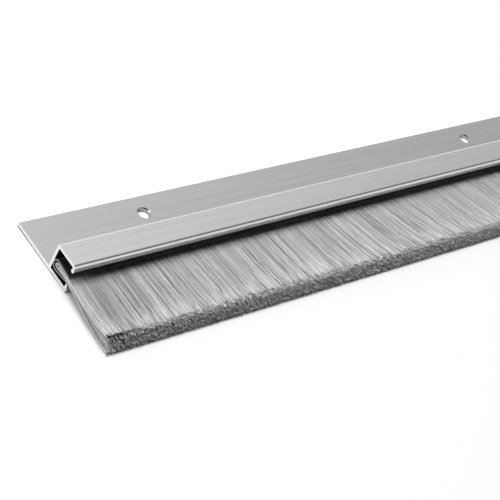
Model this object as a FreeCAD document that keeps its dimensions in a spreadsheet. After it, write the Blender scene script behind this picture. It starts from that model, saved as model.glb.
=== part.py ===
import FreeCAD, Part
import Sketcher
import math
import os

# Brush seal strip, 36 inch stock, lying flat on a level floor.
# X runs along the strip, +Y points to the screw flange, +Z is up.
# The origin is under the middle of the whole strip, on the floor.
# The carrier is one aluminium extrusion: a flat screw flange that runs on as the bottom
# wall of a channel, with a web, a top wall and a down-turned lip.
# The brush insert is a steel strip folded round filaments, which loop round a core wire.

doc = FreeCAD.newDocument("brush_seal_strip")

# Driving dimensions, in millimetres and degrees.
# A setback or a reach is measured from the back edge of the flange towards the tips.
DIMENSIONS = [
    ("strip_length", 914.0, "36 inch stock length"),
    ("total_reach", 53.5, "back edge of the flange to the brush tips"),
    ("plate_thick", 1.5, "screw flange and bottom wall of the channel"),
    ("web_setback", 18.0, "back edge to the back face of the web"),
    ("web_thick", 1.0, "web between the bottom and the top wall"),
    ("profile_height", 11.0, "floor to the top of the channel"),
    ("top_thick", 1.0, "top wall of the channel"),
    ("profile_depth", 28.2, "back edge to the front of the bottom lip"),
    ("lip_reach", 27.7, "back edge to the front face of the top lip"),
    ("lip_thick", 0.9, "top lip"),
    ("bead_height", 8.75, "centre of the rounded bead along the foot of the top lip"),
    ("bead_radius", 0.65, "rounded bead along the foot of the top lip"),
    ("fin_tip", 3.2, "height of the bottom lip's tip"),
    ("fin_base", 1.2, "thickness of the bottom lip where it leaves the wall"),
    ("fin_tip_thick", 0.45, "thickness of the bottom lip at its tip"),
    ("fin_lean", 0.15, "the bottom lip's inner face leans outwards by this much"),
    ("fin_shoulder", 1.3, "height up to which the bottom lip's front is upright"),
    ("crease_round", 0.8, "outer corner between the web and the top wall"),
    ("nose_round", 1.1, "rounded nose of the top lip"),
    ("inner_round", 0.35, "inner corners of the channel"),
    ("edge_round", 0.2, "outer edges of the flange and of the bottom lip"),
    ("hole_diameter", 4.3, "round screw hole"),
    ("hole_mouth", 5.0, "the deburred upper edge of a screw hole"),
    ("hole_setback", 7.1, "back edge to the hole centres"),
    ("hole_pitch", 164.7, "distance between the screw holes"),
    ("hole_number", 6, "screw holes along the strip"),
    ("clip_height", 4.5, "height of the brush insert's middle plane"),
    ("clip_radius", 2.0, "outer radius of the folded back of the clip"),
    ("clip_sheet", 0.4, "thickness of the clip's steel strip"),
    ("clip_mouth", 27.2, "back edge to the open ends of the clip's two sides"),
    ("clip_angle", 7.55, "slope of each side of the clip towards the filaments"),
    ("wire_radius", 0.3, "core wire that the filaments loop round"),
    ("loop_radius", 1.0, "outer radius of the filament loop round the wire"),
    ("loop_angle", 1.94, "slope of the filament loop's sides towards the mouth"),
    ("tip_top", 4.3, "height of the upper edge of the trimmed tips"),
    ("tip_slant", 3.0, "the upper tips end this much behind the lower ones"),
    ("tip_face", 1.4, "height of the upright part of the trimmed face"),
    ("tip_rest", 6.0, "length of the lower tips that lies on the floor"),
    ("tip_round", 0.7, "rounding of the trimmed edges"),
    ("tip_splay", 1.5, "the tips spread past each end of the strip by this much"),
]

sheet = doc.addObject("Spreadsheet::Sheet", "dims")
for row, (alias, value, note) in enumerate(DIMENSIONS, start=1):
    sheet.set(f"A{row}", note)
    sheet.set(f"B{row}", str(value))
    sheet.setAlias(f"B{row}", alias)
doc.recompute()


def evaluate(expression):
    """Number that an expression of the sheet's cells stands for."""
    return float(sheet.evalExpression(expression.replace("dims.", "")))


def across(reach):
    """Expression of the Y coordinate that lies a reach from the flange's back edge."""
    return f"dims.total_reach / 2 - ({reach})"


def new_body(name):
    """Sub-part, whose label names its node."""
    body = doc.addObject("PartDesign::Body", name)
    body.Label = name
    return body


def new_sketch(body, name, plane="YZ_Plane"):
    """Sketch on one of the body's own origin planes."""
    sketch = body.newObject("Sketcher::SketchObject", name)
    for feature in body.Origin.OriginFeatures:
        if feature.Role == plane:
            sketch.AttachmentSupport = [(feature, "")]
    sketch.MapMode = "FlatFace"
    return sketch


def bind(sketch, kind, elements, expression, name):
    """Dimension of a sketch, held by an expression of the sheet's cells."""
    value = evaluate(expression)
    if kind == "Angle":
        value = math.radians(value)
    index = sketch.addConstraint(Sketcher.Constraint(kind, *elements, value))
    sketch.renameConstraint(index, name)
    unit = " * 1 deg" if kind == "Angle" else ""
    sketch.setExpression(f"Constraints.{name}", expression + unit)


def polygon(sketch, corners):
    """Closed outline. Each corner is its name and the expressions of its two coordinates."""
    points = [FreeCAD.Vector(evaluate(u), evaluate(v), 0) for _, u, v in corners]
    first = sketch.GeometryCount
    for index, point in enumerate(points):
        following = points[(index + 1) % len(points)]
        sketch.addGeometry(Part.LineSegment(point, following), False)
    for index, (name, u, v) in enumerate(corners):
        line = first + index
        following = first + (index + 1) % len(points)
        sketch.addConstraint(Sketcher.Constraint("Coincident", line, 2, following, 1))
        bind(sketch, "DistanceX", (-1, 1, line, 1), u, f"{name}_u")
        bind(sketch, "DistanceY", (-1, 1, line, 1), v, f"{name}_v")


def teardrop(sketch, radius, angle, centre_y, centre_z, mouth_y):
    """Round back with two straight sides, tangent to it, that close in towards a flat mouth."""
    arc_radius = evaluate(radius)
    slope = math.radians(evaluate(angle))
    middle_y = evaluate(centre_y)
    middle_z = evaluate(centre_z)
    end_y = evaluate(mouth_y)
    touch_y = middle_y - arc_radius * math.sin(slope)
    touch_z = arc_radius * math.cos(slope)
    end_z = arc_radius / math.cos(slope) - (middle_y - end_y) * math.tan(slope)
    centre = FreeCAD.Vector(middle_y, middle_z, 0)
    upper = FreeCAD.Vector(touch_y, middle_z + touch_z, 0)
    lower = FreeCAD.Vector(touch_y, middle_z - touch_z, 0)
    upper_end = FreeCAD.Vector(end_y, middle_z + end_z, 0)
    lower_end = FreeCAD.Vector(end_y, middle_z - end_z, 0)
    circle = Part.Circle(centre, FreeCAD.Vector(0, 0, 1), arc_radius)
    start = -math.pi / 2 - slope
    back = sketch.addGeometry(Part.ArcOfCircle(circle, start, -start), False)
    top = sketch.addGeometry(Part.LineSegment(upper, upper_end), False)
    mouth = sketch.addGeometry(Part.LineSegment(upper_end, lower_end), False)
    bottom = sketch.addGeometry(Part.LineSegment(lower_end, lower), False)
    sketch.addConstraint(Sketcher.Constraint("Tangent", back, 2, top, 1))
    sketch.addConstraint(Sketcher.Constraint("Tangent", back, 1, bottom, 2))
    sketch.addConstraint(Sketcher.Constraint("Coincident", top, 2, mouth, 1))
    sketch.addConstraint(Sketcher.Constraint("Coincident", mouth, 2, bottom, 1))
    sketch.addConstraint(Sketcher.Constraint("Vertical", mouth))
    sketch.addConstraint(Sketcher.Constraint("Equal", top, bottom))
    bind(sketch, "DistanceX", (-1, 1, back, 3), centre_y, "centre_y")
    bind(sketch, "DistanceY", (-1, 1, back, 3), centre_z, "centre_z")
    bind(sketch, "Radius", (back,), radius, "back_radius")
    bind(sketch, "DistanceX", (-1, 1, mouth, 1), mouth_y, "mouth_y")
    bind(sketch, "Angle", (bottom,), f"-{angle}", "side_slope")


def circle_at(sketch, radius, u, v):
    """Full circle with its radius and its centre bound to the sheet."""
    centre = FreeCAD.Vector(evaluate(u), evaluate(v), 0)
    ring = Part.Circle(centre, FreeCAD.Vector(0, 0, 1), evaluate(radius))
    index = sketch.addGeometry(ring, False)
    bind(sketch, "DistanceX", (-1, 1, index, 3), u, "centre_u")
    bind(sketch, "DistanceY", (-1, 1, index, 3), v, "centre_v")
    bind(sketch, "Radius", (index,), radius, "radius")


def along_strip(body, name, sketch, kind="PartDesign::Pad", length="dims.strip_length"):
    """Section pushed out, or cut, to the same distance on both sides of the middle."""
    feature = body.newObject(kind, name)
    feature.Profile = sketch
    feature.Midplane = True
    feature.setExpression("Length", length)
    body.Tip = feature
    doc.recompute()
    return feature


def edges_along_strip(shape, corners):
    """Names of the edges that run along X through each of the given (Y, Z) corners."""
    names = []
    for index, edge in enumerate(shape.Edges, start=1):
        box = edge.BoundBox
        if box.XLength < 1 or box.YLength > 0.01 or box.ZLength > 0.01:
            continue
        for y, z in corners:
            if math.hypot(box.YMin - evaluate(y), box.ZMin - evaluate(z)) < 0.01:
                names.append(f"Edge{index}")
    return names


def round_off(body, name, corners, radius):
    """Fillet on the edges along the strip that pass through the given corners."""
    base = body.Tip
    edges = edges_along_strip(base.Shape, corners)
    if len(edges) != len(corners):
        raise RuntimeError(f"{name}: {len(edges)} edges found for {len(corners)} corners")
    fillet = body.newObject("PartDesign::Fillet", name)
    fillet.Base = (base, edges)
    fillet.setExpression("Radius", radius)
    body.Tip = fillet
    doc.recompute()


# Carrier profile: one extrusion with its screw holes.
back = across("0")
web_back = across("dims.web_setback")
web_front = across("dims.web_setback + dims.web_thick")
lip_front = across("dims.lip_reach")
lip_back = across("dims.lip_reach - dims.lip_thick")
fin_notch = across("dims.profile_depth - dims.fin_base")
fin_tip_back = across("dims.profile_depth - dims.fin_base + dims.fin_lean")
fin_tip_front = across("dims.profile_depth - dims.fin_base + dims.fin_lean + dims.fin_tip_thick")
fin_front = across("dims.profile_depth")
floor = "0"
plate_top = "dims.plate_thick"
channel_top = "dims.profile_height"
channel_roof = "dims.profile_height - dims.top_thick"

carrier = new_body("carrier_profile")
section = new_sketch(carrier, "carrier_section")
polygon(
    section,
    [
        ("back_bottom", back, floor),
        ("back_top", back, plate_top),
        ("web_foot", web_back, plate_top),
        ("crease", web_back, channel_top),
        ("nose", lip_front, channel_top),
        ("lip_front", lip_front, "dims.bead_height"),
        ("lip_back", lip_back, "dims.bead_height"),
        ("roof_front", lip_back, channel_roof),
        ("roof_back", web_front, channel_roof),
        ("channel_corner", web_front, plate_top),
        ("notch", fin_notch, plate_top),
        ("fin_tip_back", fin_tip_back, "dims.fin_tip"),
        ("fin_tip_front", fin_tip_front, "dims.fin_tip"),
        ("fin_shoulder", fin_front, "dims.fin_shoulder"),
        ("front_bottom", fin_front, floor),
    ],
)
along_strip(carrier, "extrusion", section)

bead_section = new_sketch(carrier, "bead_section")
bead_y = across("dims.lip_reach - dims.lip_thick / 2")
circle_at(bead_section, "dims.bead_radius", bead_y, "dims.bead_height")
along_strip(carrier, "lip_bead", bead_section)

round_off(carrier, "nose", [(lip_front, channel_top)], "dims.nose_round")
round_off(carrier, "crease", [(web_back, channel_top)], "dims.crease_round")
round_off(
    carrier,
    "inner_corners",
    [(web_front, channel_roof), (web_front, plate_top), (lip_back, channel_roof)],
    "dims.inner_round",
)
round_off(
    carrier,
    "outer_edges",
    [
        (back, floor),
        (back, plate_top),
        (fin_front, floor),
        (fin_tip_back, "dims.fin_tip"),
        (fin_tip_front, "dims.fin_tip"),
        (fin_front, "dims.fin_shoulder"),
    ],
    "dims.edge_round",
)

# The holes are drilled from above, and their upper edges are deburred at 45 degrees.
hole_sketch = new_sketch(carrier, "hole_sketch", "XY_Plane")
hole_sketch.setExpression("AttachmentOffset.Base.z", "dims.plate_thick")
first_hole = "-(dims.hole_number - 1) * dims.hole_pitch / 2"
circle_at(hole_sketch, "dims.hole_diameter / 2", first_hole, across("dims.hole_setback"))
solid_volume = carrier.Shape.Volume
hole = carrier.newObject("PartDesign::Hole", "screw_hole")
hole.Profile = hole_sketch
doc.recompute()
hole.ThreadType = "None"
hole.DepthType = "ThroughAll"
hole.HoleCutType = "Countersink"
hole.HoleCutCountersinkAngle = 90
hole.setExpression("Diameter", "dims.hole_diameter")
hole.setExpression("HoleCutDiameter", "dims.hole_mouth")
carrier.Tip = hole
doc.recompute()
hole_row = carrier.newObject("PartDesign::LinearPattern", "screw_holes")
hole_row.Originals = [hole]
hole_row.Direction = (hole_sketch, ["H_Axis"])
hole_row.setExpression("Length", "(dims.hole_number - 1) * dims.hole_pitch")
hole_row.setExpression("Occurrences", "dims.hole_number")
carrier.Tip = hole_row
doc.recompute()
bore = evaluate("dims.hole_diameter") / 2
mouth = evaluate("dims.hole_mouth") / 2
bevel = math.pi / 3 * (mouth - bore) * (mouth**2 + mouth * bore - 2 * bore**2)
bored = math.pi * bore**2 * evaluate("dims.plate_thick")
expected_cut = evaluate("dims.hole_number") * (bored + bevel)
real_cut = solid_volume - carrier.Shape.Volume
if abs(real_cut - expected_cut) > 0.01 * expected_cut:
    raise RuntimeError(f"the screw holes cut {real_cut:.1f} instead of {expected_cut:.1f}")

# Brush clip: a steel strip folded into a closed back, its sides pinching the filaments.
clip_centre = across("dims.web_setback + dims.web_thick + dims.clip_radius")
clip_end = across("dims.clip_mouth")
clip_inside = "dims.clip_radius - dims.clip_sheet"

clip = new_body("brush_clip")
clip_outside = new_sketch(clip, "clip_outside")
teardrop(clip_outside, "dims.clip_radius", "dims.clip_angle", clip_centre, "dims.clip_height", clip_end)
along_strip(clip, "folded_strip", clip_outside)
clip_hollow = new_sketch(clip, "clip_hollow")
teardrop(clip_hollow, clip_inside, "dims.clip_angle", clip_centre, "dims.clip_height", clip_end)
along_strip(clip, "hollow", clip_hollow, "PartDesign::Pocket", "2 * dims.strip_length")

# Core wire: the filaments are folded round it, so pulling on them can't draw them out.
wire = doc.addObject("Part::Cylinder", "core_wire")
wire.Label = "core_wire"
wire.setExpression("Radius", "dims.wire_radius")
wire.setExpression("Height", "dims.strip_length")
wire.Placement.Rotation = FreeCAD.Rotation(FreeCAD.Vector(0, 1, 0), 90)
wire.setExpression("Placement.Base.x", "-dims.strip_length / 2")
wire.setExpression("Placement.Base.y", clip_centre)
wire.setExpression("Placement.Base.z", "dims.clip_height")

# Bristles: the pack of filaments as one solid, from the loop round the wire to the tips.
# The neck is as thick as the clip's mouth, and the pack opens and sinks towards the floor.
bristles = new_body("bristles")
loop_section = new_sketch(bristles, "loop_section")
teardrop(loop_section, "dims.loop_radius", "dims.loop_angle", clip_centre, "dims.clip_height", clip_end)
along_strip(bristles, "folded_filaments", loop_section)

pack_section = new_sketch(bristles, "pack_section")
tips = across("dims.total_reach")
upper_tips = across("dims.total_reach - dims.tip_slant")
neck_run = "(dims.clip_mouth - dims.web_setback - dims.web_thick - dims.clip_radius)"
neck_half = f"dims.loop_radius / cos(dims.loop_angle * 1 deg) - {neck_run} * tan(dims.loop_angle * 1 deg)"
polygon(
    pack_section,
    [
        ("neck_top", clip_end, f"dims.clip_height + {neck_half}"),
        ("upper_tips", upper_tips, "dims.tip_top"),
        ("front_tips", tips, "dims.tip_face"),
        ("lower_tips", tips, floor),
        ("rest_back", across("dims.total_reach - dims.tip_rest"), floor),
        ("neck_bottom", clip_end, f"dims.clip_height - ({neck_half})"),
    ],
)
along_strip(bristles, "filament_pack", pack_section, length="dims.strip_length + 2 * dims.tip_splay")
round_off(
    bristles,
    "trimmed_edges",
    [(upper_tips, "dims.tip_top"), (tips, floor)],
    "dims.tip_round",
)

# The pack is as long as the clip at its neck, and spreads a little past both ends at its tips.
splay_sketch = new_sketch(bristles, "splay_sketch", "XY_Plane")
neck_end = "dims.strip_length / 2"
tip_end = "dims.strip_length / 2 + dims.tip_splay"
past_end = "dims.strip_length / 2 + 2 * dims.tip_splay"
for side, sign in (("right", ""), ("left", "-")):
    polygon(
        splay_sketch,
        [
            (f"{side}_neck", f"{sign}({neck_end})", clip_end),
            (f"{side}_tip", f"{sign}({tip_end})", tips),
            (f"{side}_outside", f"{sign}({past_end})", tips),
            (f"{side}_corner", f"{sign}({past_end})", clip_end),
        ],
    )
splay = bristles.newObject("PartDesign::Pocket", "splayed_ends")
splay.Profile = splay_sketch
splay.Reversed = True
splay.setExpression("Length", "dims.profile_height")
bristles.Tip = splay
doc.recompute()

wire_bore = new_sketch(bristles, "wire_bore")
circle_at(wire_bore, "dims.wire_radius", clip_centre, "dims.clip_height")
along_strip(bristles, "bore", wire_bore, "PartDesign::Pocket", "2 * dims.strip_length")

# Every object has to be sound before anything is written.
for item in doc.Objects:
    if "Invalid" in item.State or "Error" in item.State:
        raise RuntimeError(f"{item.Name} failed: {item.State}")
subparts = [carrier, clip, wire, bristles]
os.makedirs("parts", exist_ok=True)
for subpart in subparts:
    shape = subpart.Shape
    if shape.isNull() or not shape.isValid() or len(shape.Solids) != 1:
        raise RuntimeError(f"{subpart.Label} isn't one sound solid")
for subpart in subparts:
    shape = subpart.Shape
    shape.exportStep(f"parts/{subpart.Label}.step")
    box = shape.BoundBox
    print(
        f"{subpart.Label}: {box.XLength:.1f} x {box.YLength:.2f} x {box.ZLength:.2f} mm, "
        f"{shape.Volume / 1000:.2f} cm3"
    )
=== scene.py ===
# %% [markdown]
# A brush seal strip is screwed along the edge of a door, so that its brush closes the gap.
# It is one aluminium extrusion with a flat screw flange and a channel, and a brush insert in
# the channel: thousands of filaments folded round a wire and pinched in a folded steel strip.
# The measured pieces come ready made in the frame. This lesson gives them their finishes,
# and makes the filaments one by one in place of the plain block that stands for them.

# %% Load the frame
import bpy
import math
import numpy as np
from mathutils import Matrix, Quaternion, Vector


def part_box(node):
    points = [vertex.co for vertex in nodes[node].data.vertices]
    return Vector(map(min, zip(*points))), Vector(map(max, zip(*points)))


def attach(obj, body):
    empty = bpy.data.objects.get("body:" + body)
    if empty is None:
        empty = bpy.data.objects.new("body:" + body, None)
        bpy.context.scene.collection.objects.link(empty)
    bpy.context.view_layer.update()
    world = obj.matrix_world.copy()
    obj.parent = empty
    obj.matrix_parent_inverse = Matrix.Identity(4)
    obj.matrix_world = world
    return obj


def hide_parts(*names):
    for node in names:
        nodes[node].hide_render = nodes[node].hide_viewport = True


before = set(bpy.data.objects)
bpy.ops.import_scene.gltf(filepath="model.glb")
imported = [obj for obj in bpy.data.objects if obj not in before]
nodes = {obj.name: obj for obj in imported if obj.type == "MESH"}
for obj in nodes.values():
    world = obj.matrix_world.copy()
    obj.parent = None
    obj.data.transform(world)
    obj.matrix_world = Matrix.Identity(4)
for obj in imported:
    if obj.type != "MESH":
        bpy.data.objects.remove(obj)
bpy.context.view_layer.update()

print("pieces in the frame:", sorted(nodes))

# %% [markdown]
# The places that the new pieces need are read from the boxes of the measured pieces, so that
# the filaments start at the clip's mouth and end where the block's tips are. The few sizes that
# a box can't give, such as the slant of the trimmed face, are named further on.

# %% Read the sizes
MM = 0.001

carrier_low, carrier_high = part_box("carrier_profile")
clip_low, clip_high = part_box("brush_clip")
wire_low, wire_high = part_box("core_wire")
pack_low, pack_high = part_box("bristles")

half_length = carrier_high.x
mouth_y = clip_low.y
tips_y = pack_low.y
wire_y = (wire_low.y + wire_high.y) / 2
wire_z = (wire_low.z + wire_high.z) / 2
wire_radius = (wire_high.z - wire_low.z) / 2
brush_length = mouth_y - tips_y
print("half length", round(half_length / MM, 1), "mm, free filaments", round(brush_length / MM, 2), "mm")

# %% [markdown]
# A small set of helpers keeps the cells short. An operator acts on everything that is
# selected, and the loaded pieces are selected at first, so each step that models something
# starts by deselecting all. A new object gets its name at once. The node helper adds a node,
# sets its inputs and links what it is given.


# %% Helper for objects
def newest(name):
    """Names the object that the last operator added."""
    piece = bpy.context.object
    piece.name = name
    piece.data.name = name
    return piece


# %% Helpers for nodes
def add_node(tree, kind, inputs=None, **settings):
    """Adds a shader node. An input given as a socket is linked, and any other is set."""
    node = tree.nodes.new(kind)
    for name, value in settings.items():
        setattr(node, name, value)
    for name, value in (inputs or {}).items():
        if isinstance(value, bpy.types.NodeSocket):
            tree.links.new(value, node.inputs[name])
        else:
            node.inputs[name].default_value = value
    return node


def spread(tree, value, low, high, start=0.0, end=1.0):
    """Maps a value from low..high to start..end, and holds it there."""
    inputs = {"Value": value, "From Min": low, "From Max": high, "To Min": start, "To Max": end}
    return add_node(tree, "ShaderNodeMapRange", inputs).outputs["Result"]


def blend_colours(tree, share, first, second):
    """Colour that goes from the first to the second as the share goes from 0 to 1."""
    node = add_node(tree, "ShaderNodeMix", data_type="RGBA")
    for socket, value in zip((node.inputs[0], node.inputs[6], node.inputs[7]), (share, first, second)):
        if isinstance(value, bpy.types.NodeSocket):
            tree.links.new(value, socket)
        else:
            socket.default_value = value
    return node.outputs[2]


def combine(tree, operation, first, second):
    """One sum, product or other plain step between two values."""
    node = add_node(tree, "ShaderNodeMath", operation=operation)
    for socket, value in zip(node.inputs, (first, second)):
        if isinstance(value, bpy.types.NodeSocket):
            tree.links.new(value, socket)
        else:
            socket.default_value = value
    return node.outputs[0]


def grey(level, warmth=0.0):
    """Neutral colour of this brightness, a touch warmer or cooler."""
    return (level * (1 + warmth), level, level * (1 - warmth), 1.0)


# %% [markdown]
# An effect that several finishes share is one node group. The first is the fine streaks that
# a die, a roll or a brush leaves along drawn metal. Noise is stretched far along X and squeezed
# across it, at three widths, so the streaks have no visible repeat and fade in and out.


# %% Group: streaks along the strip
def make_streaks():
    """Group that puts out a streak pattern from 0 to 1, and the fine part of it alone."""
    group = bpy.data.node_groups.new("lengthwise_streaks", "ShaderNodeTree")
    for name, socket_type in (("Vector", "NodeSocketVector"), ("Width", "NodeSocketFloat")):
        group.interface.new_socket(name, in_out="INPUT", socket_type=socket_type)
    for name in ("Streaks", "Fine"):
        group.interface.new_socket(name, in_out="OUTPUT", socket_type="NodeSocketFloat")
    start = group.nodes.new("NodeGroupInput")
    end = group.nodes.new("NodeGroupOutput")
    per_metre = combine(group, "DIVIDE", 1.0, start.outputs["Width"])
    layers = []
    for share, stretch in ((1.0, 70.0), (0.45, 60.0), (0.15, 60.0)):
        across = combine(group, "MULTIPLY", per_metre, share)
        along = combine(group, "DIVIDE", across, stretch)
        scale = add_node(group, "ShaderNodeCombineXYZ", {"X": along, "Y": across, "Z": across})
        place = add_node(group, "ShaderNodeVectorMath", operation="MULTIPLY")
        group.links.new(start.outputs["Vector"], place.inputs[0])
        group.links.new(scale.outputs[0], place.inputs[1])
        noise = add_node(
            group,
            "ShaderNodeTexNoise",
            {"Vector": place.outputs[0], "Scale": 1.0, "Detail": 1.0, "Roughness": 0.5},
        )
        layers.append(noise.outputs["Fac"])
    fine_and_middle = combine(group, "ADD", layers[0], layers[1])
    total = combine(group, "ADD", fine_and_middle, layers[2])
    group.links.new(spread(group, total, 1.05, 1.95), end.inputs["Streaks"])
    group.links.new(spread(group, layers[0], 0.3, 0.7), end.inputs["Fine"])
    return group


streaks = make_streaks()
print("group", streaks.name, "has", len(streaks.nodes), "nodes")

# %% [markdown]
# The strip is sawn off at both ends, and a saw leaves bare bright metal with fine marks. The
# second group finds those faces by their distance from the middle, and draws the saw's marks
# as thin, slightly uneven lines that run down the cut.


# %% Group: sawn ends
def make_sawn_ends():
    """Group that puts out a mask of the two cut ends and a pattern of saw marks."""
    group = bpy.data.node_groups.new("sawn_ends", "ShaderNodeTree")
    group.interface.new_socket("Vector", in_out="INPUT", socket_type="NodeSocketVector")
    group.interface.new_socket("Half Length", in_out="INPUT", socket_type="NodeSocketFloat")
    for name in ("Mask", "Marks"):
        group.interface.new_socket(name, in_out="OUTPUT", socket_type="NodeSocketFloat")
    start = group.nodes.new("NodeGroupInput")
    end = group.nodes.new("NodeGroupOutput")
    parts = add_node(group, "ShaderNodeSeparateXYZ", {"Vector": start.outputs["Vector"]})
    distance = combine(group, "ABSOLUTE", parts.outputs["X"], 0.0)
    inner_edge = combine(group, "SUBTRACT", start.outputs["Half Length"], 0.03 * MM)
    mask = combine(group, "GREATER_THAN", distance, inner_edge)
    mapping = add_node(
        group,
        "ShaderNodeMapping",
        {"Vector": start.outputs["Vector"], "Rotation": (0.5, 0.0, 0.0), "Scale": (1.0, 9000.0, 500.0)},
    )
    marks = add_node(
        group,
        "ShaderNodeTexNoise",
        {"Vector": mapping.outputs["Vector"], "Scale": 1.0, "Detail": 2.0, "Roughness": 0.6},
    )
    group.links.new(mask, end.inputs["Mask"])
    group.links.new(spread(group, marks.outputs["Fac"], 0.3, 0.7), end.inputs["Marks"])
    return group


sawn_ends = make_sawn_ends()
print("group", sawn_ends.name, "has", len(sawn_ends.nodes), "nodes")

# %% [markdown]
# The aluminium isn't one even grey, and here light and shade are painted into its colour. In the
# photograph the top of the channel is a little brighter than the flange; here that is painted light.
# The inside of the channel, the foot of its lip and the walls of the screw holes are darker, which
# is painted shade, and the cut end is dark along the flange's lower edge, which is a painted
# contact shadow, stronger at the back. Each of these is a mask by place on the section: a product
# of ramps, each of which goes from 0 to 1 across a height or across a line along the strip.

# %% Places on the aluminium section
# Painted light: the colour is scaled from FLANGE_SHARE at the flange's height up to TOP_SHARE at the
# top's.
FLANGE_SHARE = 0.94
TOP_SHARE = 1.13
FLANGE_HEIGHT = 2 * MM
TOP_HEIGHT = 9 * MM
WEB_FRONT_Y = carrier_high.y - 19.0 * MM
LIP_BACK_Y = carrier_high.y - 26.9 * MM
PLATE_TOP = 1.5 * MM
ROOF = 10.0 * MM
# Painted shade: the inside of the channel is painted this dark grey.
CHANNEL_SHADE = 0.25
# Painted shade on the foot of the lip, between these heights.
LIP_LOW = 5.0 * MM
LIP_FOOT = 9.1 * MM
FOOT_SHADE = 0.28
# Painted shade on the walls of the screw holes.
HOLE_FROM_Y = carrier_high.y - 11.5 * MM
HOLE_TO_Y = carrier_high.y - 4.0 * MM
HOLE_SHADE = 0.4
# Painted contact shadow along the lower edge of the cut end.
EDGE_SHADOW_TOP = 0.55 * MM
EDGE_SHADOW_LEVEL = 0.06
print("channel inside from Y", round(LIP_BACK_Y / MM, 2), "to", round(WEB_FRONT_Y / MM, 2), "mm")


# %% Painted light and shade by place
def product(tree, ramps):
    """Product of several values."""
    total = ramps[0]
    for ramp in ramps[1:]:
        total = combine(tree, "MULTIPLY", total, ramp)
    return total


def paint_light_and_shade(tree, place, skin):
    """The aluminium's colour, with painted light on top and painted shade in the channel, at the lip's
    foot and in the holes.
    """
    parts = add_node(tree, "ShaderNodeSeparateXYZ", {"Vector": place}).outputs
    y = parts["Y"]
    z = parts["Z"]
    # Painted light: the top is painted lighter than the flange.
    lighter = add_node(tree, "ShaderNodeVectorMath", operation="SCALE")
    tree.links.new(skin, lighter.inputs[0])
    height_share = spread(tree, z, FLANGE_HEIGHT, TOP_HEIGHT, FLANGE_SHARE, TOP_SHARE)
    tree.links.new(height_share, lighter.inputs["Scale"])
    foot = product(tree, [
        spread(tree, z, LIP_FOOT, LIP_FOOT + 0.9 * MM, 1.0, 0.0),
        spread(tree, z, LIP_LOW, LIP_LOW + 0.1 * MM),
        spread(tree, y, WEB_FRONT_Y - MM, WEB_FRONT_Y, 1.0, 0.0),
    ])
    channel = product(tree, [
        spread(tree, y, LIP_BACK_Y, LIP_BACK_Y + 0.05 * MM),
        spread(tree, y, WEB_FRONT_Y, WEB_FRONT_Y + 0.05 * MM, 1.0, 0.0),
        spread(tree, z, PLATE_TOP - 0.05 * MM, PLATE_TOP),
        spread(tree, z, ROOF, ROOF + 0.05 * MM, 1.0, 0.0),
    ])
    hole = product(tree, [
        spread(tree, z, PLATE_TOP - 0.04 * MM, PLATE_TOP - 0.02 * MM, 1.0, 0.0),
        spread(tree, z, 0.01 * MM, 0.02 * MM),
        spread(tree, y, HOLE_FROM_Y, HOLE_FROM_Y + MM),
        spread(tree, y, HOLE_TO_Y, HOLE_TO_Y + MM, 1.0, 0.0),
    ])
    colour = lighter.outputs[0]
    # Painted shade: each mask blends the colour to its dark grey.
    for mask, level in ((foot, FOOT_SHADE), (channel, CHANNEL_SHADE), (hole, HOLE_SHADE)):
        colour = blend_colours(tree, mask, colour, grey(level))
    return colour


def paint_edge_shadow(tree, place, cut):
    """The cut's colour, with a painted contact shadow along the lower edge, which is stronger at the
    back.
    """
    parts = add_node(tree, "ShaderNodeSeparateXYZ", {"Vector": place}).outputs
    share = product(tree, [
        spread(tree, parts["Z"], 0.2 * MM, EDGE_SHADOW_TOP, 1.0, 0.0),
        spread(tree, parts["Y"], 0.0, 24 * MM, 0.35, 1.0),
    ])
    return blend_colours(tree, share, cut, grey(EDGE_SHADOW_LEVEL))


# %% [markdown]
# Drawn metal: one function makes the three metal finishes, because they differ only in their
# numbers. The lengthwise streaks change the colour and the roughness a little and cut a very
# shallow relief. The anisotropy turns round the strip's own axis, so that a highlight spreads
# across the streaks, as it does on real drawn or brushed metal.


# %% Metal finish
CUT_DULL = 0.42
CUT_SHINY = 0.3


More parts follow.
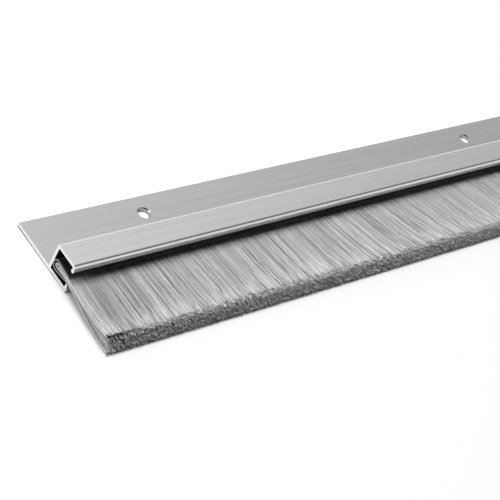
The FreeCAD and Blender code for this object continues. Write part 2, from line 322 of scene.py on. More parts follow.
def make_metal(
    name, level, rough, streak_width, streak_depth, contrast, anisotropy, cut_level, extruded=False
):
    """Metal with lengthwise streaks and sawn ends. The extrusion also has painted light and shade by
    place.
    """
    material = bpy.data.materials.new(name)
    material.use_nodes = True
    tree = material.node_tree
    shader = tree.nodes["Principled BSDF"]
    shader.inputs["Metallic"].default_value = 1.0
    shader.inputs["Anisotropic"].default_value = anisotropy
    place = tree.nodes.new("ShaderNodeTexCoord").outputs["Object"]
    lines = add_node(tree, "ShaderNodeGroup", node_tree=streaks)
    lines.inputs["Width"].default_value = streak_width
    tree.links.new(place, lines.inputs["Vector"])
    ends = add_node(tree, "ShaderNodeGroup", node_tree=sawn_ends)
    ends.inputs["Half Length"].default_value = half_length
    tree.links.new(place, ends.inputs["Vector"])

    skin = blend_colours(
        tree, lines.outputs["Streaks"], grey(level * (1 - contrast)), grey(level * (1 + contrast))
    )
    cut = blend_colours(tree, ends.outputs["Marks"], grey(cut_level * 0.9), grey(cut_level * 1.1))
    # The extrusion gets painted light and shade, and a painted contact shadow on its cut end.
    if extruded:
        skin = paint_light_and_shade(tree, place, skin)
        cut = paint_edge_shadow(tree, place, cut)
    tree.links.new(blend_colours(tree, ends.outputs["Mask"], skin, cut), shader.inputs["Base Color"])

    skin_rough = spread(tree, lines.outputs["Streaks"], 0.0, 1.0, rough * 1.15, rough * 0.85)
    cut_rough = spread(tree, ends.outputs["Marks"], 0.0, 1.0, CUT_DULL, CUT_SHINY)
    rough_steps = add_node(tree, "ShaderNodeMix", data_type="FLOAT")
    tree.links.new(ends.outputs["Mask"], rough_steps.inputs[0])
    tree.links.new(skin_rough, rough_steps.inputs[2])
    tree.links.new(cut_rough, rough_steps.inputs[3])
    tree.links.new(rough_steps.outputs[0], shader.inputs["Roughness"])

    relief = add_node(tree, "ShaderNodeMix", data_type="FLOAT")
    tree.links.new(ends.outputs["Mask"], relief.inputs[0])
    tree.links.new(lines.outputs["Fine"], relief.inputs[2])
    tree.links.new(ends.outputs["Marks"], relief.inputs[3])
    bump = add_node(
        tree, "ShaderNodeBump", {"Height": relief.outputs[0], "Strength": 1.0, "Distance": streak_depth}
    )
    tree.links.new(bump.outputs["Normal"], shader.inputs["Normal"])
    round_axis = add_node(tree, "ShaderNodeTangent", direction_type="RADIAL", axis="X")
    tree.links.new(round_axis.outputs["Tangent"], shader.inputs["Tangent"])
    return material


def dress(piece, material):
    """Puts the material in every slot of a piece."""
    for slot in piece.material_slots:
        slot.material = material
    print(piece.name, "wears", material.name)


# %% Finish of the three metal pieces
satin_aluminium = make_metal(
    "satin_aluminium", level=0.80, rough=0.24, streak_width=0.22 * MM, streak_depth=0.003 * MM,
    contrast=0.06, anisotropy=0.45, cut_level=0.80, extruded=True,
)
clip_steel = make_metal(
    "clip_steel", level=0.40, rough=0.40, streak_width=0.15 * MM, streak_depth=0.002 * MM,
    contrast=0.12, anisotropy=0.3, cut_level=0.30,
)
wire_steel = make_metal(
    "wire_steel", level=0.40, rough=0.35, streak_width=0.08 * MM, streak_depth=0.001 * MM,
    contrast=0.10, anisotropy=0.3, cut_level=0.20,
)
dress(nodes["carrier_profile"], satin_aluminium)
dress(nodes["brush_clip"], clip_steel)
dress(nodes["core_wire"], wire_steel)

# %% [markdown]
# The filaments are light grey plastic, a little glossy. Each one carries its own tone on its
# points: partly at random, because no two in the photograph are quite alike, and partly painted
# light and shade, which are worked out further on. A second value is the distance that is left to
# the cut tip: the photograph's filaments get paler over their last few millimetres, and the finish
# paints that as light on the filament's last millimetres. The third says how dark the cut end
# looks: some of the ends in the trimmed face are dark spots, because light that falls on the end
# of a clear rod goes in and doesn't come back.

# %% Filament finish
FILAMENT_DARK = 0.37
FILAMENT_PALE = 0.80
CUT_END_LEVEL = 0.15
CUT_END_FROM = 0.35 * MM
CUT_END_TO = 0.6 * MM
# Painted light: over the last PALE_FROM of a filament its colour is painted up to PALE_SHARE paler.
PALE_FROM = 7.0 * MM
PALE_TO = 0.5 * MM
PALE_SHARE = 0.2
DUST_SHARE = 0.1
WARMTH = 0.003


def make_filament_finish():
    """Light grey plastic that reads each filament's tone with its painted light and shade, its cut end
    and the distance to its tip, and paints light on the last millimetres.
    """
    material = bpy.data.materials.new("filament")
    material.use_nodes = True
    tree = material.node_tree
    shader = tree.nodes["Principled BSDF"]
    shader.inputs["IOR"].default_value = 1.5
    tone = add_node(tree, "ShaderNodeAttribute", attribute_name="tone").outputs["Fac"]
    to_tip = add_node(tree, "ShaderNodeAttribute", attribute_name="to_tip").outputs["Fac"]
    cut = add_node(tree, "ShaderNodeAttribute", attribute_name="cut").outputs["Fac"]
    place = tree.nodes.new("ShaderNodeTexCoord").outputs["Object"]
    dust = add_node(tree, "ShaderNodeTexNoise", {"Vector": place, "Scale": 900.0, "Detail": 2.0})
    uneven = spread(tree, dust.outputs["Fac"], 0.3, 0.7, -DUST_SHARE, DUST_SHARE)
    # Painted light on the last millimetres before the tip.
    painted_tip_light = spread(tree, to_tip, PALE_TO, PALE_FROM, PALE_SHARE, 0.0)
    share = combine(tree, "ADD", combine(tree, "ADD", tone, uneven), painted_tip_light)
    side = blend_colours(tree, share, grey(FILAMENT_DARK, WARMTH), grey(FILAMENT_PALE, WARMTH))
    cut_end = combine(tree, "MULTIPLY", cut, spread(tree, to_tip, CUT_END_FROM, CUT_END_TO, 1.0, 0.0))
    tree.links.new(
        blend_colours(tree, cut_end, side, grey(CUT_END_LEVEL)), shader.inputs["Base Color"]
    )
    tree.links.new(spread(tree, dust.outputs["Fac"], 0.3, 0.7, 0.34, 0.48), shader.inputs["Roughness"])
    return material


filament_finish = make_filament_finish()
print("filament finish has", len(filament_finish.node_tree.nodes), "nodes")

# %% [markdown]
# One filament is modelled by hand: a three-sided rod, cut across so that it can bend. Three sides
# are enough, because a filament is thinner than a pixel in most views, and smooth shading rounds
# it. Its corners lie on a circle 0.24 mm wide, so it covers about as much as a round rod of
# 0.2 mm, and the circle grows to 0.32 mm at the tip, where the cut ends fill the trimmed face. The
# hidden end stays open. The cut end is split off, so that it has points of its own and the sides
# are shaded as sides right up to it. The rod is only a pattern: its points say how far along the
# filament they are and on which side, and every filament is then a copy of it along its own
# curve. The filaments in the heart of the pack show only their tips, so a rod with fewer cuts
# does for them.

# %% Model one filament
FILAMENT_RADIUS = 0.12 * MM
TIP_RADIUS = 0.16 * MM
FILAMENT_PITCH = 0.2 * MM


def model_rod(cuts):
    """Rod with this many cuts. Returns its points, their stations from the root, and its faces."""
    bpy.ops.object.select_all(action="DESELECT")
    bpy.ops.mesh.primitive_cylinder_add(
        vertices=3, radius=FILAMENT_RADIUS, depth=brush_length, rotation=(math.radians(90), 0, 0)
    )
    rod = newest("one_filament")
    bpy.ops.object.transform_apply(location=True, rotation=True, scale=True)
    bpy.ops.object.mode_set(mode="EDIT")
    bpy.ops.mesh.select_mode(type="FACE")
    bpy.ops.mesh.select_all(action="DESELECT")
    bpy.ops.object.mode_set(mode="OBJECT")
    for face in rod.data.polygons:
        face.select = face.center.y > brush_length / 3
    bpy.ops.object.mode_set(mode="EDIT")
    bpy.ops.mesh.delete(type="ONLY_FACE")
    bpy.ops.mesh.select_all(action="DESELECT")
    bpy.ops.object.mode_set(mode="OBJECT")
    for face in rod.data.polygons:
        face.select = face.center.y < -brush_length / 3
    bpy.ops.object.mode_set(mode="EDIT")
    bpy.ops.mesh.split()
    bpy.ops.mesh.select_mode(type="EDGE")
    bpy.ops.mesh.select_all(action="DESELECT")
    bpy.ops.object.mode_set(mode="OBJECT")
    for edge in rod.data.edges:
        first, second = (rod.data.vertices[index].co for index in edge.vertices)
        edge.select = abs(first.y - second.y) > brush_length / 2
    bpy.ops.object.mode_set(mode="EDIT")
    bpy.ops.mesh.subdivide(number_cuts=cuts)
    bpy.ops.object.mode_set(mode="OBJECT")
    points = np.array([vertex.co for vertex in rod.data.vertices])
    stations = np.rint((0.5 - points[:, 1] / brush_length) * (cuts + 1)).astype(int)
    faces = [tuple(face.vertices) for face in rod.data.polygons]
    bpy.data.objects.remove(rod)
    print("rod with", cuts, "cuts:", len(points), "points,", len(faces), "faces")
    return points, stations, faces


outer_rod = model_rod(3)
inner_rod = model_rod(1)

# %% [markdown]
# The filaments stand in the clip's mouth in rows, side by side like bricks, which is how tightly
# they are packed in a real strip. Each gets a place along the strip and a layer, from 0 at the
# bottom to 1 at the top. All chance comes from one seeded generator, so that every run makes the
# same brush.

# %% Lay out the roots
ROWS = 10
INNER_ROWS = (2, 6)
ROOT_SCATTER = 0.12 * FILAMENT_PITCH
chance = np.random.default_rng(36)

column_count = int(2 * half_length / FILAMENT_PITCH)
column, row = np.meshgrid(np.arange(column_count), np.arange(ROWS), indexing="ij")
root_x = (column + 0.5 + 0.5 * (row % 2)) * (2 * half_length / column_count) - half_length
root_x = root_x.ravel()
row = row.ravel()
count = len(root_x)
root_x = root_x + chance.normal(0, ROOT_SCATTER, count)
limit = half_length - FILAMENT_RADIUS
root_x = np.clip(root_x, -limit, limit)
layer = np.clip((row + 0.5 + chance.uniform(-0.5, 0.5, count)) / ROWS, 0.0, 1.0)
from_near_end = root_x + half_length
print("filaments:", count)

# %% [markdown]
# Brushes of this kind never stand quite straight. Here they lean along the strip, a few degrees
# at the near end and up to 28 a little further on, as in the photograph, and they come upright
# again towards the far end. A few neighbours cling to each other and make a strand about half a
# millimetre wide, with its own lean and tone, so the brush reads as fine light and dark lines.
# Strands are made band by band through the pack: random widths split the strip into groups, and
# a filament is drawn to its group's middle. The filaments on a strand's edges are darker, because
# the gap between two strands is in shade. At the tips each row falls into tufts of its own. A
# tuft is cut a little short, stands a little higher or lower, and has its own share of dark ends.


# %% Helpers for strands
def groups_along(place, width, generator):
    """Splits a line into groups of uneven width. Returns each place's group and its middle."""
    steps = generator.uniform(0.5, 1.5, int(1.3 * (place.max() - place.min()) / width) + 4) * width
    edges = place.min() - width / 2 + np.cumsum(steps) - steps[0]
    index = np.clip(np.searchsorted(edges, place) - 1, 0, len(edges) - 2)
    return index, (edges[index] + edges[index + 1]) / 2


def slow_wave(place, width, generator):
    """Smooth random value, about as large as 1, that changes over this width."""
    knots = generator.normal(0, 1, int((place.max() - place.min()) / width) + 3)
    steps = (place - place.min()) / width
    index = steps.astype(int)
    part = steps - index
    part = part * part * (3 - 2 * part)
    return knots[index] * (1 - part) + knots[index + 1] * part


# %% Lean, strands and stray filaments
LEAN = (
    (0, -1),
    (15, 1.5),
    (35, 5),
    (55, 8),
    (85, 11),
    (110, 19),
    (140, 25),
    (190, 28),
    (240, 27),
    (330, 17),
    (450, 8),
    (600, 0),
    (760, 5),
    (880, 2),
    (914, 2.5),
)
BANDS = ((0, 2), (2, 6), (6, 8), (8, 10))
STRAND_WIDTH = 0.45 * MM
STRAND_TONE = 0.8
STRAND_LEAN = 0.6
STRAND_LIFT = 0.08 * MM
STRAND_PULL = 0.4
BOW_LENGTH = 12 * MM
BOW_SIZE = 0.3 * MM
GROOVE_FROM = 0.35
GROOVE_WIDTH = 0.1
GROOVE_SHADE = 2.8
TUFT_WIDTH = 0.4 * MM
TUFT_SHORT = 0.45 * MM
TUFT_RISE = 0.25 * MM
DARK_ENDS = (0.9, 0.7)
OWN_LEAN = 0.7
STRAY_SHARE = 0.03
STRAY_LEAN = 3.0

lean = np.interp(from_near_end / MM, [knot[0] for knot in LEAN], [knot[1] for knot in LEAN])
bow = np.zeros(count)
shade = np.zeros(count)
lift = np.zeros(count)
pull = np.zeros(count)
short = np.zeros(count)
raised_tuft = np.zeros(count)
cut_share = np.zeros(count)
for first_row, next_row in BANDS:
    mine = (row >= first_row) & (row < next_row)
    place = root_x[mine]
    strand, strand_middle = groups_along(place, STRAND_WIDTH, chance)
    strands = strand.max() + 1
    shade[mine] = chance.normal(0, STRAND_TONE, strands)[strand]
    lean[mine] += chance.normal(0, STRAND_LEAN, strands)[strand]
    lift[mine] = chance.normal(0, STRAND_LIFT, strands)[strand]
    bow[mine] = slow_wave(place, BOW_LENGTH, chance) * BOW_SIZE
    pull[mine] = STRAND_PULL * (strand_middle - place)
    off_middle = np.abs(strand_middle - place) / STRAND_WIDTH
    # Painted shade on the filaments at a strand's edges, where the gap between strands is in shade.
    shade[mine] -= GROOVE_SHADE * np.clip((off_middle - GROOVE_FROM) / GROOVE_WIDTH, 0, 1)
for number in range(ROWS):
    mine = row == number
    tuft, _ = groups_along(root_x[mine], TUFT_WIDTH, chance)
    tufts = tuft.max() + 1
    short[mine] = np.abs(chance.normal(0, TUFT_SHORT, tufts))[tuft]
    raised_tuft[mine] = chance.normal(0, TUFT_RISE, tufts)[tuft]
    cut_share[mine] = chance.beta(*DARK_ENDS, tufts)[tuft]
stray = (chance.random(count) < STRAY_SHARE) & (row > 0)
lean = lean + chance.normal(0, OWN_LEAN, count) + stray * chance.normal(0, STRAY_LEAN, count)
print("lean from", round(lean.min(), 1), "to", round(lean.max(), 1), "degrees, stray:", int(stray.sum()))

# %% [markdown]
# Seen from the end, the brush leaves the mouth 1.6 mm thick. Its top sinks a little towards the
# tips, its underside comes down to the floor and lies on it for the last few millimetres, and
# the tips are trimmed to a face that slants back at the top. These few numbers are the section
# of the measured block.

# %% Section of the brush
NECK_HALF = 0.79 * MM
TIP_TOP = 4.3 * MM
TIP_FACE = 1.4 * MM
TIP_SLANT = 3.0 * MM
TIP_REST = 6.0 * MM
HIDDEN_ROOT = 1.5 * MM
CORNER = 0.4 * MM
UNDER_ROUND = 0.25 * MM
OVER_ROUND = 0.4 * MM

neck_top = wire_z + NECK_HALF
neck_bottom = wire_z - NECK_HALF
reach_rest = brush_length - TIP_REST


def underside(reach):
    """Height of the brush's lower surface at a distance from the mouth."""
    return np.maximum(neck_bottom * (1 - np.maximum(reach, 0) / reach_rest), 0) + FILAMENT_RADIUS


def upper_side(reach):
    """Height of the brush's upper surface at a distance from the mouth."""
    slope = (neck_top - TIP_TOP) / (brush_length - TIP_SLANT)
    return neck_top - slope * np.maximum(reach, 0) - FILAMENT_RADIUS


def trimmed_reach(height):
    """How far from the mouth a filament is cut off, by the height of its tip."""
    slant = TIP_SLANT * np.clip((height - TIP_FACE) / (TIP_TOP - TIP_FACE), 0, 1)
    round_under = UNDER_ROUND * np.clip(1 - height / CORNER, 0, 1) ** 2
    round_over = OVER_ROUND * np.clip((height - TIP_TOP + CORNER) / CORNER, 0, 1) ** 2
    return brush_length - slant - round_under - round_over


print("neck from", round(neck_bottom / MM, 2), "to", round(neck_top / MM, 2), "mm high")

# %% [markdown]
# Towards the tips the pack opens: its filaments are crowded at the top and at the bottom and
# looser in the middle. The trimming isn't perfect: most tips end less than half a millimetre
# short and a few more than one, and only the lowest, which lie on the floor, end even. In the
# photograph the first millimetres at the near end spread upwards, because nothing holds them from
# the side. Here the rise is 1.3 mm at the very end and fades along the strip.

# %% Tips
EVEN_RISE = 0.15 * MM
END_RISE = 1.3 * MM
END_FADE = 6 * MM
TIP_SCATTER = 0.012
LONE_SHORT = 0.1 * MM
FACE_GAP = 0.02 * MM

crowded = 0.5 - 0.5 * np.cos(math.pi * layer)
raised = 1 - (1 - layer) ** 2.2
tip_layer = np.clip(0.35 * crowded + 0.65 * raised + chance.normal(0, TIP_SCATTER, count), 0.0, 1.0)
rise = EVEN_RISE + END_RISE * np.exp(-from_near_end / END_FADE)
tip_height = TIP_RADIUS + tip_layer * (TIP_TOP + rise + raised_tuft - 2 * TIP_RADIUS)
trim_error = (short + np.abs(chance.normal(0, LONE_SHORT, count))) * np.clip(tip_layer * 2, 0.1, 1)
tip_reach = trimmed_reach(tip_height) - trim_error - FACE_GAP
print("tips reach", round(tip_reach.min() / MM, 2), "to", round(tip_reach.max() / MM, 2), "mm")

# %% [markdown]
# Now every filament gets its curve, as its place at a few stations from just inside the mouth to
# the cut tip. It is easiest to see as three sums for many filaments at once: how far out the
# station is, how far along the strip it has moved, and how high it lies. No station lies below
# the floor.

# %% Curves of the filaments
STATION_SCATTER = 0.12 * MM


def curve(chosen, stations):
    """Places of the chosen filaments at these shares of their length, as X, Y and Z."""
    reach = stations[None, :] * tip_reach[chosen][:, None]
    reach[:, 0] = -HIDDEN_ROOT
    out = np.clip(reach / brush_length, 0, 1)
    swing = 4 * out * (1 - out)
    sideways = np.tan(np.radians(lean[chosen]))[:, None] * np.maximum(reach, 0)
    sideways = sideways + bow[chosen][:, None] * swing + pull[chosen][:, None] * out
    sideways = sideways + chance.normal(0, STATION_SCATTER, reach.shape) * out
    x = root_x[chosen][:, None] + sideways
    x = np.clip(x, pack_low.x + TIP_RADIUS, pack_high.x - TIP_RADIUS)
    y = mouth_y - reach
    height_share = layer[chosen][:, None] * (1 - out) + tip_layer[chosen][:, None] * out
    low_side = underside(reach)
    high_side = upper_side(reach) + rise[chosen][:, None] * out**2
    z = low_side + height_share * (high_side - low_side) + lift[chosen][:, None] * swing
    z = np.maximum(z, TIP_RADIUS)
    z[:, -1] = tip_height[chosen]
    return x, y, z


# %% [markdown]
# Each filament is turned by its own angle about its own line and is a little thinner or thicker
# than the next. Its tone is the sum of four parts: painted light that changes along the strip, the
# tone of its strand with painted shade on the strand's edges, its own random tone, and painted
# shade in the heart of the pack. Dark cut ends are found in the lower part of the trimmed face,
# and near its top they are all light, which is painted light where the top ends catch the lamp.

# %% Turn, thickness and tones
THINNEST = 0.88
# Painted light along the strip: light on the first millimetre of the near end's side, darker a few
# millimetres in, and lighter towards the far end.
LIGHT_ALONG = ((0, 0.9), (1, 0.8), (3, 0.45), (60, 0.6), (170, 0.87), (450, 1.0))
SHADE_SHARE = 0.14
OWN_TONE = 0.2
# Painted shade: the filaments in the heart of the pack are painted darker by HEART_SHADE.
HEART_SHADE = 0.3
# Painted light: cut ends near the top of the trimmed face are left light, where they catch the lamp.
LIGHT_ENDS_FROM = 0.75
LIGHT_ENDS_FADE = 0.35

turn = chance.uniform(0, 2 * math.pi, count)
thickness = chance.uniform(THINNEST, 1.0, count)
light_along = np.interp(from_near_end / MM, [knot[0] for knot in LIGHT_ALONG], [knot[1] for knot in LIGHT_ALONG])
inner = (row >= INNER_ROWS[0]) & (row < INNER_ROWS[1])
own_tone = chance.normal(0, OWN_TONE, count)
tone = np.clip(light_along + SHADE_SHARE * shade + own_tone - HEART_SHADE * inner, 0.0, 1.0)
cut_dark = np.clip((LIGHT_ENDS_FROM - tip_layer) / LIGHT_ENDS_FADE, 0.0, 1.0) * cut_share
print("filaments in the heart of the pack:", int(inner.sum()))

# %% [markdown]
# The copies are joined in five long meshes, because forty-odd thousand separate objects would
# be slow and one mesh would be too heavy to hand on. The tone, the cut end's darkness and the
# distance to the tip go to attributes on the points, which the finish reads.


# %% Helpers that copy the rod
def copy_rod(rod, chosen, places, to_tip, outwards, swell):
    """Copies of a rod through the given places: points, faces and the values on the points."""
    rod_points, rod_station, rod_faces = rod
    x, y, z = places
    sine = np.sin(turn[chosen])[:, None]
    cosine = np.cos(turn[chosen])[:, None]
    size = thickness[chosen][:, None] * swell[rod_station]
    across = rod_points[:, 0][None, :]
    upward = rod_points[:, 2][None, :]
    out = size * (across * sine + upward * cosine)
    x = x[:, rod_station] + size * (across * cosine - upward * sine)
    y = y[:, rod_station] + out * outwards[0][rod_station]
    z = z[:, rod_station] + out * outwards[1][rod_station]
    points = np.stack([x, y, z], axis=2).reshape(-1, 3)
    starts = np.arange(len(x)) * len(rod_points)
    faces = [tuple(start + corner for corner in face) for start in starts.tolist() for face in rod_faces]
    values = {
        "tone": np.repeat(tone[chosen], len(rod_points)),
        "cut": np.repeat(cut_dark[chosen], len(rod_points)),
        "to_tip": to_tip[:, rod_station].ravel(),
    }
    return points, faces, values


def copy_free_rods(rod, chosen, stations):
    """Copies of a rod along the chosen filaments, from the clip's mouth to their tips."""
    to_tip = (1 - stations)[None, :] * tip_reach[chosen][:, None]
    upright = (np.zeros(len(stations)), np.ones(len(stations)))
    swell = 1 + (TIP_RADIUS / FILAMENT_RADIUS - 1) * stations**3
    return copy_rod(rod, chosen, curve(chosen, stations), to_tip, upright, swell)


def make_mesh(name, points, faces, values):
    """Mesh object from arrays of points and faces, with named values on its points."""
    mesh = bpy.data.meshes.new(name)
    mesh.from_pydata(points.tolist(), [], faces)
    mesh.polygons.foreach_set("use_smooth", np.ones(len(faces), dtype=bool))
    for value_name, numbers in values.items():
        attribute = mesh.attributes.new(value_name, "FLOAT", "POINT")
        attribute.data.foreach_set("value", numbers.astype(np.float32))
    mesh.update()
    piece = bpy.data.objects.new(name, mesh)
    bpy.context.scene.collection.objects.link(piece)
    return piece


def add_filaments(name, points, faces, values):
    """Finished piece of the brush, which stands in the place of the block."""
    piece = make_mesh(name, points, faces, values)
    piece.data.materials.append(filament_finish)
    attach(piece, "root")
    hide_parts("bristles")
    print(name, "has", sum(len(face) - 2 for face in faces), "triangles")


# %% Build the brush
SECTIONS = 5
OUTER_STATIONS = np.array([0.0, 0.26, 0.52, 0.77, 1.0])
INNER_STATIONS = np.array([0.0, 0.55, 1.0])

section_of = np.minimum((from_near_end / (2 * half_length) * SECTIONS).astype(int), SECTIONS - 1)
for number in range(SECTIONS):
    mine = section_of == number
    outer_points, outer_faces, outer_values = copy_free_rods(
        outer_rod, np.flatnonzero(mine & ~inner), OUTER_STATIONS
    )
    inner_points, inner_faces, inner_values = copy_free_rods(
        inner_rod, np.flatnonzero(mine & inner), INNER_STATIONS
    )
    shift = len(outer_points)
    faces = outer_faces + [tuple(corner + shift for corner in face) for face in inner_faces]
    values = {key: np.concatenate([outer_values[key], inner_values[key]]) for key in outer_values}
    points = np.concatenate([outer_points, inner_points])
    add_filaments(f"filaments_{number + 1}", points, faces, values)

# %% [markdown]
# Inside the clip each filament is a hairpin: it comes in at the top of the mouth, goes round the
# core wire and out at the bottom. Only the hairpins at the two sawn ends can be seen, so three
# columns are made there, in layers from the wire outwards. A rod with more cuts is laid round the
# wire for it, and its points are turned to face away from the wire.

# %% Loops round the core wire
LOOP_TOP = 1.0 * MM
LOOP_LAYERS = 3
LOOP_COLUMNS = 3
ARC_POINTS = 9

loop_rod = model_rod(ARC_POINTS)
angle = np.radians(np.concatenate([[90], np.linspace(90, -90, ARC_POINTS), [-90]]))
on_arc = np.ones(len(angle))
on_arc[0] = 0
on_arc[-1] = 0
loops = [
    (end, column_number, layer_number)
    for end in (-1, 1)
    for column_number in range(LOOP_COLUMNS)
    for layer_number in range(LOOP_LAYERS)
]
loop_x = np.array([end * (half_length - (0.7 + number) * FILAMENT_PITCH) for end, number, _ in loops])
from_wire = np.array([number / (LOOP_LAYERS - 1) for _, _, number in loops])
inner_radius = wire_radius + FILAMENT_RADIUS
loop_radius = inner_radius + from_wire * (LOOP_TOP - FILAMENT_RADIUS - inner_radius)
mouth_half = FILAMENT_RADIUS + from_wire * (NECK_HALF - 2 * FILAMENT_RADIUS)
loop_size = mouth_half[:, None] * (1 - on_arc) + loop_radius[:, None] * on_arc
loop_z = wire_z + loop_size * np.sin(angle)
loop_y = (wire_y + loop_size * np.cos(angle)) * on_arc + mouth_y * (1 - on_arc)
loop_places = (np.repeat(loop_x[:, None], len(angle), axis=1), loop_y, loop_z)
far_from_tip = np.full(loop_z.shape, brush_length)
chosen = np.arange(len(loops))
outwards = (np.cos(angle), np.sin(angle))
add_filaments(
    "end_loops", *copy_rod(loop_rod, chosen, loop_places, far_from_tip, outwards, np.ones(len(angle)))
)

# %% [markdown]
# The floor is a wide pale plane. To the camera, and in reflections, it glows a little, so that it
# reads as the white ground of a product photograph. Its diffuse part still takes light and
# shade, so the strip keeps its soft shadow. The glow fades where the strip covers the floor, so
# that the gaps under it stay dark.

# %% Floor
FLOOR_SIZE = 12.0
FLOOR_COLOUR = 0.77
FLOOR_GLOW = 0.2
COVER_REACH = 12 * MM
COVERED = 0.15
OPEN = 0.6

bpy.ops.object.select_all(action="DESELECT")
bpy.ops.mesh.primitive_plane_add(size=FLOOR_SIZE, location=(0, 0, 0))
floor = newest("floor")
floor_finish = bpy.data.materials.new("white_ground")
floor_finish.use_nodes = True
tree = floor_finish.node_tree
tree.nodes.remove(tree.nodes["Principled BSDF"])
seen = add_node(tree, "ShaderNodeLightPath")
direct_or_mirror = combine(tree, "MAXIMUM", seen.outputs["Is Camera Ray"], seen.outputs["Is Glossy Ray"])
any_sight = combine(tree, "MAXIMUM", direct_or_mirror, seen.outputs["Is Transmission Ray"])
cover = add_node(tree, "ShaderNodeAmbientOcclusion", {"Distance": COVER_REACH}, samples=8)
uncovered = spread(tree, cover.outputs["AO"], COVERED, OPEN)
glow_strength = combine(tree, "MULTIPLY", combine(tree, "MULTIPLY", any_sight, FLOOR_GLOW), uncovered)
glow = add_node(tree, "ShaderNodeEmission", {"Color": (1, 1, 1, 1), "Strength": glow_strength})
matte = add_node(tree, "ShaderNodeBsdfDiffuse", {"Color": grey(FLOOR_COLOUR)})
both = add_node(tree, "ShaderNodeAddShader")
tree.links.new(glow.outputs[0], both.inputs[0])
tree.links.new(matte.outputs[0], both.inputs[1])
tree.links.new(both.outputs[0], tree.nodes["Material Output"].inputs["Surface"])
floor.data.materials.append(floor_finish)
print("floor", FLOOR_SIZE, "m wide")

# %% [markdown]
# Light: one soft panel hangs above the near half of the strip and somewhat behind it, and a
# second one hangs to its left. The studio round them is a smooth gradient, bright behind the
# strip and dark in front of it. So the trimmed face of the brush and the ground before it are in
# soft shade, and the flange goes from light grey at the near end to a deeper grey further on.
# The camera sees the world white. Mirrors see it white near the horizon, where a studio's white
# wall would be, but only towards the right. In front that wall reaches higher and is dimmer.

# %% Lamp and world
PANEL_DISTANCE = 1.6
PANEL_OVER = Vector((-0.45, 0, 0))
BRIGHT_SIDE = Vector((0.0, 0.92, 0.39)).normalized()
BRIGHT_FROM = 0.2
BRIGHT_TO = 1.0
WALL_TOP = 0.2
WALL_FADE = 0.15
CEILING_LEVEL = 0.12
WALL_FROM_X = -0.25
WALL_TO_X = 0.3
CARD_RISE = 0.5
CARD_LEVEL = 0.75
CARD_SPREAD = 0.3


def soft_panel(name, towards, length, width, radiance):
    """Rectangular soft lamp of this size and radiance, in this direction from the near half."""
    lamp_data = bpy.data.lights.new(name, "AREA")
    lamp_data.shape = "RECTANGLE"
    lamp_data.size = length
    lamp_data.size_y = width
    lamp_data.energy = radiance * math.pi * length * width
    lamp = bpy.data.objects.new(name, lamp_data)
    bpy.context.scene.collection.objects.link(lamp)
    lamp.location = towards.normalized() * PANEL_DISTANCE + PANEL_OVER
    lamp.rotation_mode = "QUATERNION"
    lamp.rotation_quaternion = (-towards).to_track_quat("-Z", "Y")
    print(name, round(lamp_data.energy, 1), "W")


soft_panel("key_panel", towards=Vector((0.0, 0.40, 1.0)), length=0.75, width=0.68, radiance=11.3)
soft_panel("side_panel", towards=Vector((-1.0, 0.35, 0.7)), length=0.8, width=0.5, radiance=7.5)

world = bpy.data.worlds.new("studio")
bpy.context.scene.world = world
world.use_nodes = True
tree = world.node_tree
sight = add_node(tree, "ShaderNodeLightPath")
direction = add_node(tree, "ShaderNodeTexCoord").outputs["Generated"]
parts = add_node(tree, "ShaderNodeSeparateXYZ", {"Vector": direction}).outputs
in_front = combine(tree, "MAXIMUM", combine(tree, "MULTIPLY", parts["Y"], -1.0), 0.0)
height = combine(tree, "SUBTRACT", parts["Z"], combine(tree, "MULTIPLY", in_front, CARD_RISE))
near_horizon = spread(tree, height, WALL_TOP, WALL_TOP + WALL_FADE, 1.0, CEILING_LEVEL)
mirrored = combine(tree, "MAXIMUM", sight.outputs["Is Glossy Ray"], sight.outputs["Is Transmission Ray"])
card_level = spread(tree, in_front, 0.0, CARD_SPREAD, 1.0, CARD_LEVEL)
away = combine(tree, "MULTIPLY", near_horizon, spread(tree, parts["X"], WALL_FROM_X, WALL_TO_X))
away = combine(tree, "MULTIPLY", away, card_level)
mirrored_wall = combine(tree, "MULTIPLY", mirrored, away)
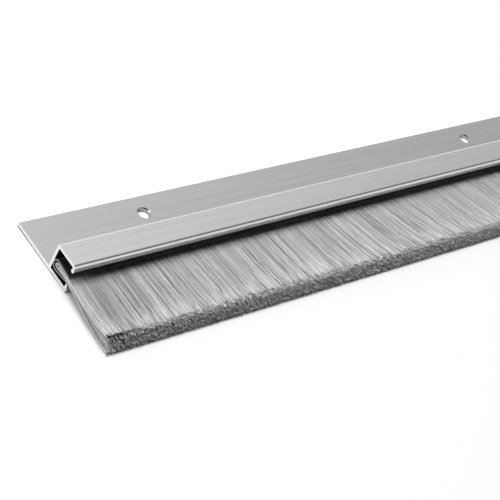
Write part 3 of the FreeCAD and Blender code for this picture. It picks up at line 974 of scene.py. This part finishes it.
shown_white = combine(tree, "MAXIMUM", sight.outputs["Is Camera Ray"], mirrored_wall)
white_part = add_node(tree, "ShaderNodeBackground", {"Color": (1, 1, 1, 1), "Strength": 1.0})
facing = add_node(tree, "ShaderNodeVectorMath", operation="DOT_PRODUCT")
tree.links.new(direction, facing.inputs[0])
facing.inputs[1].default_value = BRIGHT_SIDE
studio_level = spread(tree, facing.outputs["Value"], BRIGHT_FROM, BRIGHT_TO)
fill_part = tree.nodes["Background"]
fill_part.inputs["Color"].default_value = (1, 1, 1, 1)
tree.links.new(studio_level, fill_part.inputs["Strength"])
chosen_part = add_node(tree, "ShaderNodeMixShader", {"Fac": shown_white})
tree.links.new(fill_part.outputs[0], chosen_part.inputs[1])
tree.links.new(white_part.outputs[0], chosen_part.inputs[2])
tree.links.new(chosen_part.outputs[0], tree.nodes["World Output"].inputs["Surface"])
bpy.context.scene.view_settings.view_transform = "Standard"
print("world", world.name, "has", len(tree.nodes), "nodes")

# %% [markdown]
# The camera was worked out from the photograph: the long edges meet in one point far to the
# upper right, and the round screw holes look like narrow ellipses. It is a long lens from half a
# metre away, which looks down at 39 degrees and is rolled, so that the strip rises to the right.

# %% Camera
CAMERA_PLACE = Vector((-0.7257, -0.2133, 0.3259))
CAMERA_AIM = Vector((-0.3818, -0.0038, 0.0))
CAMERA_ROLL = 30.94
CAMERA_LENS = 112.56
SENSOR = 36.0

camera_data = bpy.data.cameras.new("camera")
camera_data.sensor_width = SENSOR
camera_data.lens = CAMERA_LENS
camera_data.clip_start = 0.01
camera = bpy.data.objects.new("camera", camera_data)
bpy.context.scene.collection.objects.link(camera)
camera.location = CAMERA_PLACE
camera.rotation_mode = "QUATERNION"
level_turn = (CAMERA_AIM - CAMERA_PLACE).to_track_quat("-Z", "Y")
camera.rotation_quaternion = level_turn @ Quaternion((0, 0, 1), math.radians(CAMERA_ROLL))
bpy.context.scene.camera = camera
print("camera", round((CAMERA_AIM - CAMERA_PLACE).length, 3), "m from the point that it looks at")
